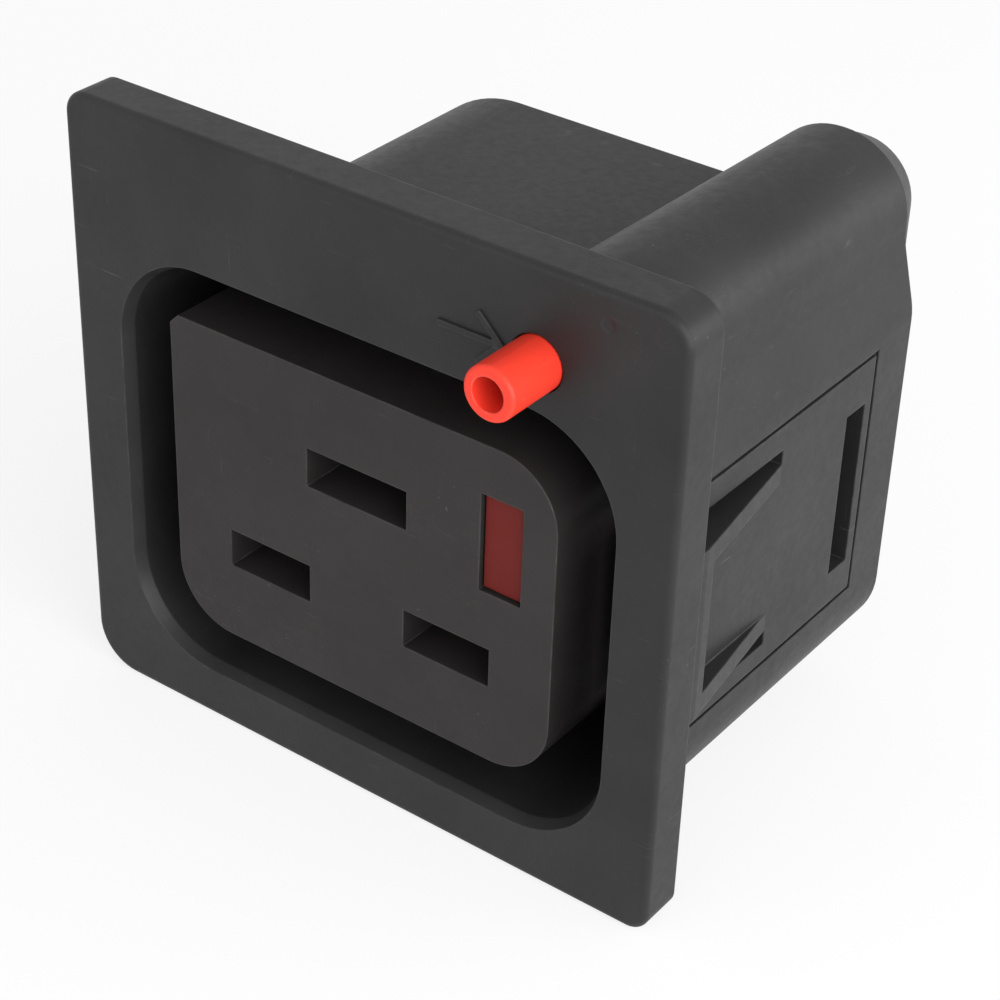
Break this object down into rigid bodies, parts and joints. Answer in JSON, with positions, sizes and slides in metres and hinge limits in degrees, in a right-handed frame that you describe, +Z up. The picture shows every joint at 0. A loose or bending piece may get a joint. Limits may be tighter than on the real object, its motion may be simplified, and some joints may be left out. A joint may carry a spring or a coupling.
{
  "type": "locking iec panel socket",
  "caption": "Black locking appliance outlet for panel mounting, with square bezel, snap tongues, a sprung red release button in a rod tower and flat terminal tabs behind.",
  "frame": {"origin": "middle of the bezel on its back seating face, the plane that lies against the panel's front", "axes": "+X right as seen from the front, +Y straight back into the panel, +Z up"},
  "size_m": [0.0422, 0.0431, 0.0396],
  "materials": {
    "black_moulding": "satin",
    "black_core": "satin",
    "tinned_metal": "bright tinned",
    "spring_metal": "bright",
    "red_button": "gloss",
    "red_inner": "satin"
  },
  "bodies": {
    "socket": {"housing": "black_moulding", "core": "black_core", "rear_plate": "black_core", "tower_cap": "black_moulding", "contact_line": "tinned_metal", "contact_neutral": "tinned_metal", "contact_earth": "tinned_metal", "leaf_line": "spring_metal", "leaf_neutral": "spring_metal", "leaf_earth": "spring_metal", "return_spring": "spring_metal"},
    "release": {"release_button": "red_button", "release_bridge": "red_inner", "lock_bar": "red_inner", "lock_clamp": "spring_metal"}
  },
  "joints": [
    {"name": "release_press", "type": "slide", "parent": "socket", "child": "release", "axis": [0, 1, 0], "range_m": [0, 0.0025], "stiffness_N_per_m": 1500, "springref_m": -0.002, "deforming": ["return_spring"]}
  ]
}
